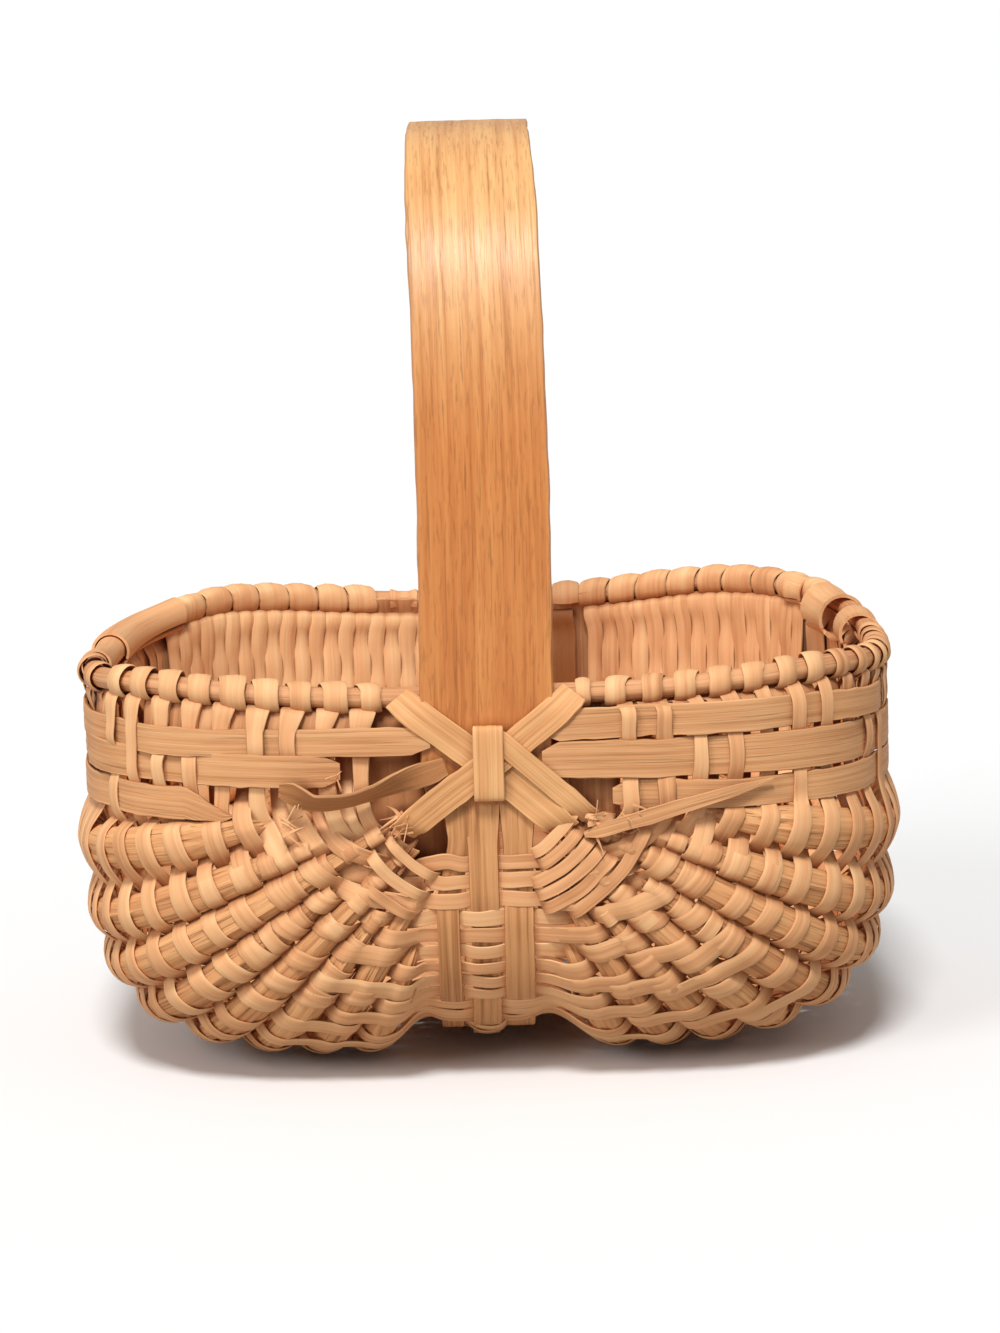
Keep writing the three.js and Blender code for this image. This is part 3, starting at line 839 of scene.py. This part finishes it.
def wrap_rim(route, base, side, behind, at_end):
    """The turn round the rim, with a tooth under it in front."""
    slide = -0.5 * row_share + jitter(0.3) / rim.length
    loose = rng.random() * (WRAP_LOOSENESS if behind or side > 0 else 1.0)
    if behind:
        wide, flare, crown = rng.uniform(8.7, 9.5), 0.1, 1.1
    else:
        wide = WRAP_WIDTH + WRAP_SPREAD * loose
        wide = wide + (LEFT_SPREAD * base if side < 0 else 0) + END_SPREAD * at_end
        flare, crown = 0.2 + 0.7 * loose, WRAP_CROWN
        along = rim.along(base)
        tooth = rim.at(base) + level_out(along) * TOOTH_OUT - [0, 0, TOOTH_DROP]
        route.put(tooth, along, TOOTH_WIDTHS[side])
    for spot, along, around in rim_turn(base, slide, WRAP_RADIUS + LOOSE_LIFT * loose, behind):
        route.put(spot, along, wide, flare * around, crown * around)


def half_route(j, side):
    """Places of a row from the tines to the rim on one side, seen as if on the right."""
    base = row_place(j)
    low = np.interp(j, crossing, tine_shares)
    pair = j // 2 if side > 0 else min((j + 1) // 2, PAIRS - 1)
    behind = j >= MIDDLE_ROW
    bare = any(a < base < b for a, b in BARE_RIM[side])
    at_end = side < 0 and END_WRAPS[0] < base < END_WRAPS[1]
    wraps = j % 2 == (side > 0) and not bare and not (at_end and (j // 2) % 2)
    wide, depth, crown = 4.7, 0.0, 0.0
    if behind and wraps:
        wide = STRIP_WIDTH
    elif behind:
        to_bare_end = min(abs(base - limit) for zone in BARE_RIM[side] for limit in zone)
        wide = 7.4 if bare and to_bare_end > row_share else LINER_WIDTH
        depth, crown = LINER_DEPTH + j // 2 % 2, -0.8
    elif at_end and not wraps:
        wide, depth = LINER_WIDTH, 1.4
    elif not wraps:
        depth = 7.0
    route = Route()
    if j in crossing:
        cross_tines(route, j, side, low)
    cross_ribs(route, j, side, base, low)
    cross_bands(route, base, side, pair, wide, depth, crown)
    if wraps:
        wrap_rim(route, base, side, behind, at_end)
    else:
        end_under_rim(route, base, wide, behind, bare)
    return route.columns()


def cap_route(rib, share):
    """A short end that is tucked over a rib near the pole."""
    width = rib.width(share)
    lift = RIB_FLATNESS * width / 2 + STRIP_THICK / 2 + CAP_CLEARANCE
    along, out = rib.line.along(share), rib.out(share)
    at, down = rib.line.at(share), np.cross(along, out)
    return np.array([at + down * width * u + out * lift * v for u, v in CAP_KNOTS]), along


def arc_route(run, pole, kind):
    """A strip round the pole over the tips of the ribs, tucked in at both ends."""
    low, high = rng.integers(*ARC_TOP_RIBS[kind]), rng.integers(*ARC_LOW_RIBS[kind])
    route = Route()
    for number in range(high, low - 1, -1):
        rib = ribs[number]
        share = abs(pole - (run + jitter(0.15)) / rib.line.length)
        along, out = rib.line.along(share), rib.out(share)
        at, down = rib.line.at(share), np.cross(along, out)
        if number == high:
            route.put(at + down * ARC_END - out * ARC_TUCK, along)
        route.put(at + out * ARC_LIFT, along)
        if number == low:
            route.put(at - down * ARC_END - out * ARC_TUCK, along)
    return route.columns()[:2]


def upright_route(knots, share_on):
    """A strip up the inside of the wall. Knots are (line, depth inside it, rise above it)."""
    route = Route()
    for line, depth, rise in knots:
        share = share_on(line)
        along = line.along(share)
        route.put(line.at(share) - level_out(along) * depth + [0, 0, rise], along)
    return route.columns()[:2]


fill_knots = [
    (flats[band], LINER_DEPTH, rise * FLAT_WIDTH)
    for band, rise in zip((2, 2, 1, 1, 0, 0), (FILL_FOOT,) + 5 * (BAND_KNOT, -BAND_KNOT))
]
fill_knots.append((rim, *FILL_HEAD))

bundles = [Bundle() for _ in range(COURSES)]
for j in range(ROWS):
    bundle = bundles[int((j + 0.5) * COURSES / ROWS)]
    right = half_route(j, 1)
    left = [values[::-1] for values in half_route(j, -1)]
    left[:2] = [values * flip(-1) for values in left[:2]]
    # Rows behind are toned paler: painted light on the back wall
    tone = rng.random() + (0.3 if j >= MIDDLE_ROW else 0.05)
    parts = [left, right]
    if j in crossing:
        parts = [[np.concatenate(pair) for pair in zip(left, right)]]
    for knots, *carried in parts:
        path, side, width, flare, crown = spline(knots, *carried)
        width = width * (1 + wander(len(path), 12, 0.06))
        bundle.sweep(path, side, width, STRIP_THICK, SPLINT, tone, ragged=RAGGED, flare=flare, crown=crown)
for pole, bundle in ((0, bundles[0]), (1, bundles[-1])):
    for rib in ribs[CAP_RIBS]:
        for step in range(CAP_COUNT):
            run = CAP_FIRST + step * CAP_PITCH + jitter(0.6)
            knots, along = cap_route(rib, abs(pole - rib.start - run / rib.line.length))
            for side in (1, -1):
                width = 4.9 * rng.uniform(0.85, 1.2)
                bundle.lay(knots, along, side, width, rng.random(), ragged=0.1)
    for side in (1, -1):
        kind = side if pole == 0 else -side
        for run in ARC_RUNS[kind]:
            knots, alongs = arc_route(run, pole, kind)
            width = rng.uniform(3.0, 4.0)
            bundle.lay(knots, alongs, side, width, rng.random(), ragged=0.08, flare=0.5)
    for distance in FILL_PLACES:
        knots, alongs = upright_route(fill_knots, lambda line: abs(pole - distance / line.length))
        for side in (1, -1):
            # Painted shade: the fills at the front pole are toned darker
            tone = rng.random() - (0 if pole else FRONT_FILL_SHADE[side])
            bundle.lay(knots, alongs, side, STRIP_WIDTH, tone, ragged=RAGGED)
for side, pole, run, width in EXTRA_WRAPS:
    places = rim_turn(abs(pole - run / rim.length), 0, RIM_RADIUS + STRIP_THICK, pole)
    knots, alongs, _ = (np.array(values) for values in zip(*places))
    crown = WRAP_CROWN * (1 + pole)
    bundles[-pole].lay(knots, alongs, side, width, tone=0.6, ragged=RAGGED, crown=crown)
lowest = min(points[:, 2].min() for bundle in bundles for points in bundle.points)
foot_stretch = POLE_LEVEL / -lowest
for k, bundle in enumerate(bundles):
    half, number = ("front", k + 1) if k < COURSES // 2 else ("back", COURSES - k)
    node = f"weaver_{half}_{number:02d}"
    bundle.build(node + "_rows", weaver_oak, "weaver_oak", [node])

# Handle hoop: the arch, and the three tines that its lower half is split into
ACROSS = (1.0, 0, 0)
UPRIGHT = (0, 0, 1.0)
arch_y, arch_z = oval(
    HOOP_HALF_DEPTH, HANDLE_HEIGHT, ARCH_SQUARENESS, np.linspace(0, 1, CURVE_SAMPLES) * np.pi
)
arch = Line(np.stack([-HANDLE_LEAN * (arch_z / HANDLE_HEIGHT) ** 2, arch_y, arch_z], -1))
handle, tines = Bundle(), Bundle()
legs = np.linspace(0, SPLIT_START / tine.length, num=9)
path = np.concatenate([
    tine.at(1 - legs[::-1]),
    arch.at(np.linspace(0, 1, num=240))[1:-1],
    tine.at(legs),
])
drop = np.clip(-path[:, 2] / SPLIT_START, 0, 1)
path[:, 0] += HANDLE_BULGE * np.sin(np.pi * np.clip(path[:, 2] / HANDLE_HEIGHT, 0, 1))
crest = np.clip((path[:, 2] - CREST_FROM) / CREST_RUN, 0, 1) ** 2
width = HANDLE_WIDTH - HANDLE_NARROWING * drop - CREST_NARROWING * crest + wander(len(path), 26, 0.18)
handle.sweep(path, ACROSS, width, HANDLE_THICK, BOARD, tone=0.5, ragged=0.1, ridged=0.06)
lead = (SPLIT_START - TINE_OVERLAP) / tine.length
first = tine_shares[0] - 1.5 * row_share
knots = np.concatenate([[0, first], tine_shares, [1 - first, 1]])
share = np.linspace(lead, 1 - lead, num=230)
ends = np.clip(np.minimum(share - lead, 1 - lead - share) * tine.length / TINE_BLEND, 0, 1)
thick = HANDLE_THICK + (TINE_THICK - HANDLE_THICK) * ends
for number in (-1, 0, 1):
    turn = side_of_tine if number else -side_of_tine
    lift = averaged(np.interp(share, knots, -TINE_SWAY * np.pad(turn, 2)), 2)
    if number == 0:
        lift = lift + sag(share)
    path = tine.at(share) + tine_out(share) * lift[:, None] + [TINE_PLACES[number], 0, 0]
    path[:, 0] += splay(number, share) + wander(len(path), 40, 0.35)
    width = TINE_WIDTHS[number] + TINE_SPREAD * (1 - ends) + wander(len(path), 30, 0.25)
    tines.sweep(path, ACROSS, width, thick, BAND, 0.45 + 0.2 * number, ragged=0.06, ridged=0.05)
handle.build("handle_strip", handle_oak, "handle_oak", ["handle_hoop"])
tines.build("handle_tines", tine_oak, "handle_oak")

# Rim hoop
rim_rod = Bundle()
half = rim.at(np.linspace(0, 1, num=150))
loop = np.concatenate([half, half[-2:0:-1] * flip(-1)])
out = level_out(unit(np.roll(loop, -1, 0) - np.roll(loop, 1, 0)))
rim_rod.sweep(loop, out, 2 * RIM_RADIUS, 2 * RIM_RADIUS, ROD, tone=0.5, loop=True, ridged=0.09)
rim_rod.build("rim_rod", rim_oak, "rim_oak", ["rim_hoop"])

# Level bands
SIDES = ((1, "right"), (-1, "left"))
pairs = np.arange(PAIRS)
pair_shares = start_share + (2 * pairs + 1) * row_share
for side, word in SIDES:
    for number, line in enumerate(flats):
        low = FLAT_STARTS[side][number] / line.length
        high = 1 - FLAT_STARTS[-side][number] / line.length
        share = np.linspace(low, high, num=260)
        push = -FLAT_PUSH * np.array([block(side, number, pair) for pair in pairs])
        lift = averaged(np.interp(share, pair_shares, push), 4)
        near = np.minimum(share, 1 - share) * line.length
        settled = np.interp(near, FLAT_END_RUN, (0, 1))
        lift = np.interp(near, FLAT_END_RUN, (FLAT_END_LIFT, 0)) + lift * settled
        path = line.at(share) + level_out(line.along(share)) * lift[:, None]
        path[:, 2] += band_shift(side, number, share) + wander(len(path), 45, 0.5)
        taper = np.clip(np.minimum(share - low, high - share) * line.length / FLAT_TAPER + 0.5, 0, 1)
        width = (FLAT_WIDTHS[side][number] + wander(len(path), 40, 0.3)) * taper
        if (side, number) == TORN_BAND:
            torn = np.clip((share - low) * line.length / TORN_RUN, TORN_LEAST, 1)
            path[:, 2] -= width * (1 - torn) / 2
            width = width * torn
        band = Bundle()
        tone = rng.uniform(0.2, 0.9)
        band.sweep(path * flip(side), UPRIGHT, width, FLAT_THICK, BAND, tone, ragged=0.12, ridged=0.06)
        band.build(f"flat_band_{word}_{number + 1}", flat_oak, "rib_oak", [f"flat_rib_{word}_{number + 1}"])

# Round ribs
for side, word in SIDES:
    for number, rib in enumerate(ribs):
        low = rib.start + TIP_RUN[0] / rib.line.length
        share = np.linspace(low, 1 - low, num=170)
        width, out = rib.width(share), rib.out(share)
        run = np.minimum(share - low, 1 - low - share) * rib.line.length
        tuck = TIP_TUCK * (1 - np.clip(run / TUCK_RUN, 0, 1)) ** 2
        path = (rib.line.at(share) - out * tuck[:, None]) * flip(side)
        across = np.cross(rib.line.along(share), out) * flip(side)
        rod = Bundle()
        tone = rng.random()
        rod.sweep(path, across, width, RIB_FLATNESS * width, RIVEN, tone, ragged=0.1, ridged=0.26)
        rod.build(f"riven_rib_{word}_{number + 1}", rib_oak, "rib_oak", [f"round_rib_{word}_{number + 1}"])

# Lashings at the poles: three splints and a binder. Knots are (x, depth before the poles, z)
LASH_THICK = 0.9
FALLING = (
    (-24.4, 93.4, 20.6), (-23.0, 94.4, 19.6), (-21, 95.4, 17.9), (-7, 96.6, 6.9), (0.1, 96.7, 1.3),
    (5.3, 96.6, -2.8), (12.4, 96.4, -9.1), (19.5, 95.8, -15.3), (22, 94.0, -17.6),
)
RISING = (
    (25.0, 93.4, 20.9), (23.6, 94.4, 19.8), (22, 95.4, 18.3), (12.3, 97.2, 10.5), (0.1, 97.7, 1.2),
    (-10.4, 97.5, -6.2), (-17, 96.9, -11.4), (-21.8, 96.0, -15.2), (-24, 94.4, -17.2),
)
SHORTER = (
    (0.4, 97.4, 10.6), (2.4, 98.2, 9.4), (5.3, 98.5, 7.2), (12, 98.1, 1.2), (19, 97.5, -5.2),
    (25.5, 96.6, -11.1), (28.6, 94.8, -14.0),
)


def lashing(pole, turn):
    rising, falling, binder = Bundle(), Bundle(), Bundle()
    for bundle, knots, width, tone in (
        (falling, FALLING, 9.0, 0.75), (rising, RISING, 8.8, 0.6), (rising, SHORTER, 6.4, 0.9)
    ):
        path, = spline(np.array(knots) * [1, -1, 1], step=1.2)
        bundle.sweep(path, ACROSS, width, LASH_THICK, BAND, tone, ragged=0.08, ridged=0.06)
    angle = np.linspace(0, 2 * np.pi, num=64, endpoint=False)
    y, z = oval(a=1.9, b=10.2, squareness=4.0, angle=angle)
    ring = np.stack([0 * angle, y, z], -1) + [0.6, -97.6, 2.2]
    binder.sweep(ring, ACROSS, 8.6, LASH_THICK, BAND, tone=0.95, loop=True, ridged=0.05)
    for name, bundle in (
        (f"lash_{pole}_rising", rising), (f"lash_{pole}_falling", falling), (f"binder_{pole}", binder)
    ):
        bundle.points = [points * turn for points in bundle.points]
        bundle.facing = [facing * turn for facing in bundle.facing]
        bundle.build(name + "_splint", lash_oak, "lashing_oak", [name])


lashing("front", (1, 1, 1))
lashing("back", (-1, -1, 1))

# Loose ends: splints rolled round the rim, a twisted splint, a torn sliver and frayed fibres
for name, (side, low, high, radius, inward, drop) in SLEEVES.items():
    share = np.linspace(low, high, SLEEVE_SAMPLES)
    out = level_out(rim.along(share))
    path = rim.at(share) - out * inward - [0, 0, drop]
    width = 2 * radius * (1 + 0.05 * np.cos(np.linspace(0, 5, SLEEVE_SAMPLES)))
    path, out = path * flip(side), out * flip(side)
    if side > 0:
        path, out = path[::-1], out[::-1]
    roll = Bundle()
    roll.sweep(path, out, width, width, SLEEVE, tone=0.7, ragged=0.05)
    roll.build(f"rim_sleeve_{name}", weaver_oak, "weaver_oak")

twist = Bundle()
path, across, width = spline(
    [
        (-58, -95.6, -4.4), (-54, -97.8, -5.2), (-48, -99.4, -7.2), (-40, -99.8, -7.0), (-31, -99.4, -4.6),
        (-24, -98.8, -2.0), (-17, -97.8, -0.2), (-11.5, -97.2, 1.6),
    ],
    [
        (0, 0, 1), (0, -0.3, 1), (0, -0.8, 0.6), (0, -0.86, 0.5), (0, -0.84, 0.54),
        (0.05, -0.5, 0.86), (0.1, 0.1, 1), (0.2, 0.2, 1),
    ],
    [4.0, 7.5, 10.0, 11.0, 10.0, 7.8, 6.8, 5.2],
)
# The dark tone is partly the splint's darker inner face and partly painted shade on its face that is turned
# down
twist.sweep(path, across, width, 0.9, BAND, tone=-0.7, ragged=0.2, ridged=0.08)
twist.build("twisted_splint", flat_oak, "rib_oak")

sliver = Bundle()
path, width = spline(
    [
        (27, -95.6, -19.2), (31.2, -97.6, -17.7), (44, -97.2, -14.4),
        (56.6, -95.6, -11.1), (70, -92.6, -8.2), (80.5, -88.4, -5.8),
    ],
    [1.5, 3.6, 4.6, 4.2, 3.2, 0.4],
)
sliver.sweep(path, UPRIGHT, width, 0.8, BAND, tone=0.6, ragged=0.1, ridged=0.05)
sliver.build("torn_sliver", flat_oak, "rib_oak")

# Broken fibres: the spot, the way they point, their count, length and width
FRAYS = (
    ((-22.5, -96.4, -14.6), (-0.7, -0.15, -0.6), 7, 4.5, 1.1),
    ((-26, -96, -12.4), (-0.9, -0.1, -0.2), 5, 5, 1.6),
    ((30, -96.6, -15), (0.9, -0.15, -0.3), 8, 5.5, 1.4),
    ((40, -96.2, -15.6), (0.9, -0.1, 0.2), 6, 5, 1.1),
    ((-52.3, -97.2, -6.9), (0.2, -0.25, -0.8), 4, 4, 0.8),
    ((-55.4, -96.0, -14.7), (0.9, -0.1, 0.1), 6, 5, 1.2),
    ((-40.9, -96.4, -0.8), (0.5, -0.2, 0.3), 3, 3, 0.8),
)
fibres = Bundle()
for spot, toward, count, length, width in FRAYS:
    for _ in range(count):
        way = unit(np.array(toward) + rng.normal(0, 0.5, 3))
        start = np.array(spot) + rng.normal(0, 1.3, 3) * [1, 0.25, 1]
        reach = length * rng.uniform(0.5, 1.2)
        bend = rng.normal(0, 0.22, 3) * reach
        middle = start + way * reach / 2 + bend * 0.4
        path, = spline([start - way * 2, start, middle, start + way * reach + bend], step=0.8)
        taper = np.linspace(width * rng.uniform(0.5, 1.2), 0.12, len(path))
        fibres.sweep(path, [0.3, 0.2, 1.0], taper, 0.3, SPLINT, rng.random())
fibres.build("loose_fibres", weaver_oak, "weaver_oak")


# Narrow uprights on the inside of the back wall, and dark ones beside the handle that are painted shadow
def lining_route(share, number):
    """An upright whose head turns out under the rim and whose foot ends behind the level bands."""
    knots = [(flats[2], LINING_FOOT_DEPTH, -FLAT_WIDTH)]
    for band in (2, 1, 0):
        wave = LINING_WAVE if (number + band) % 2 else -LINING_WAVE
        knots.append((flats[band], LINING_DEPTH + wave, 0))
    knots += [(rim, depth, rise) for depth, rise in LINING_HEAD]
    return upright_route(knots, lambda line: share)


lining = Bundle()
for side in (1, -1):
    for row in range(*LINING_ROWS[side]):
        knots, alongs = lining_route(row_place(row), row)
        width, tone = rng.uniform(5.0, 5.8), rng.uniform(*LINING_TONES[side])
        lining.lay(knots, alongs * side, side, width, tone, ragged=INNER_RAGGED, crown=0.45)
lining.build("back_lining", weaver_oak, "weaver_oak")
# Dark splints beside the handle, front and back: painted shadow
painted_shadow_splint = Bundle()
knots, alongs = lining_route(1 - SHADOW_SPLINT_PLACE / rim.length, 0)
painted_shadow_splint.lay(knots, alongs, 1, width=8.0, tone=SHADOW_SPLINT_TONE, ragged=INNER_RAGGED)
for first, turn in ((0, (1, 1, 1)), (1, (1, -1, 1)), (1, (-1, -1, 1))):
    knots = np.array(SHADOW_UPRIGHTS[first:]) * turn
    painted_shadow_splint.lay(knots, ACROSS, 1, width=14.0, tone=SHADOW_SPLINT_TONE, ragged=INNER_RAGGED)
painted_shadow_splint.build("painted_shadow_splint", tine_oak, "weaver_oak")

# Short ends between the teeth, from the rim's underside to behind the top band in front
stubs = Bundle()
for side in (1, -1):
    for row in STUB_ROWS[side]:
        share = row_place(row)
        top, along = flats[0].at(share), flats[0].along(share)
        out, shift = level_out(along), band_shift(side, 0, share)
        knots = [top - out * STUB_DEPTH + [0, 0, shift + rise] for rise in STUB_RISES]
        knots += [rim.at(share) + out * outward - [0, 0, below] for outward, below in STUB_HEAD]
        tone = rng.uniform(-0.3, 0.5)
        stubs.lay(np.array(knots), along, side, width=5.2, tone=tone, ragged=INNER_RAGGED)
stubs.build("rim_stubs", weaver_oak, "weaver_oak")

crowding = Crowding(
    np.concatenate([points for bundle, *_ in pieces for points in bundle.points]),
    np.concatenate([areas for bundle, *_ in pieces for areas in bundle.area]),
)
for piece in pieces:
    make_piece(*piece, crowding)

# Floor: white to the camera and in reflections, darker to the light that it sends back
FLOOR_REACH = 40.0
corners = [(x * FLOOR_REACH, y * FLOOR_REACH, 0) for x, y in ((-1, -1), (1, -1), (1, 1), (-1, 1))]
floor_mesh = bpy.data.meshes.new("floor")
floor_mesh.from_pydata(corners, [], [(0, 1, 2, 3)])
floor = add_object("floor", floor_mesh)
floor_paint = bpy.data.materials.new("floor_paint")
floor_paint.use_nodes = True
tree = floor_paint.node_tree
tree.nodes.remove(tree.nodes["Principled BSDF"])
rays = add_node(tree, "ShaderNodeLightPath").outputs
seen = rays["Is Camera Ray"]
for ray in ("Is Glossy Ray", "Is Transmission Ray"):
    seen = add_node(tree, "ShaderNodeMath", {0: seen, 1: rays[ray]}, operation="MAXIMUM").outputs[0]
dim = add_node(tree, "ShaderNodeBsdfDiffuse", {"Color": (0.42, 0.39, 0.36, 1)}).outputs[0]
white = add_node(tree, "ShaderNodeBsdfDiffuse", {"Color": (0.95, 0.95, 0.95, 1)}).outputs[0]
choice = add_node(tree, "ShaderNodeMixShader", {0: seen, 1: dim, 2: white}).outputs[0]
tree.links.new(choice, tree.nodes["Material Output"].inputs["Surface"])
floor_mesh.materials.append(floor_paint)

# Light and camera
scene = bpy.context.scene
scene.view_settings.view_transform = "Standard"
world = bpy.data.worlds.new("studio")
scene.world = world
world.use_nodes = True
sky = world.node_tree.nodes["Background"].inputs
sky["Color"].default_value = (1, 1, 1, 1)
sky["Strength"].default_value = 0.32


def heading(azimuth, elevation):
    flat = np.cos(elevation)
    return np.array([np.sin(azimuth) * flat, -np.cos(azimuth) * flat, np.sin(elevation)])


def sun(name, azimuth, elevation, strength, spread):
    light = bpy.data.lights.new(name, "SUN")
    light.energy = strength
    light.angle = np.radians(spread)
    made = add_object(name, light)
    made.rotation_mode = "QUATERNION"
    made.rotation_quaternion = Vector(heading(*np.radians([azimuth, elevation]))).to_track_quat("Z", "Y")


sun("key", azimuth=-6, elevation=56, strength=2.3, spread=14)
sun("front", azimuth=-44, elevation=27, strength=0.95, spread=24)

AZIMUTH, ELEVATION, ROLL = np.radians([0.0541, 9.5946, -1.5278])
FOCAL_PX = 4329.17
FRAME_PX = 1333.0
DISTANCE = 1300.0
TARGET = np.array([4.406, 0.0, 13.004 + POLE_LEVEL])
back = heading(AZIMUTH, ELEVATION)
right = unit(np.cross(-back, UPRIGHT))
up = np.cross(right, -back)
across = np.cos(ROLL) * right + np.sin(ROLL) * up
upward = -np.sin(ROLL) * right + np.cos(ROLL) * up
lens = bpy.data.cameras.new("camera")
lens.sensor_fit = "VERTICAL"
lens.lens = lens.sensor_height * FOCAL_PX / FRAME_PX
camera = add_object("camera", lens)
place = (TARGET + back * DISTANCE) / 1000
camera.matrix_world = Matrix((*np.stack([across, upward, back, place], -1).tolist(), (0, 0, 0, 1)))
scene.camera = camera
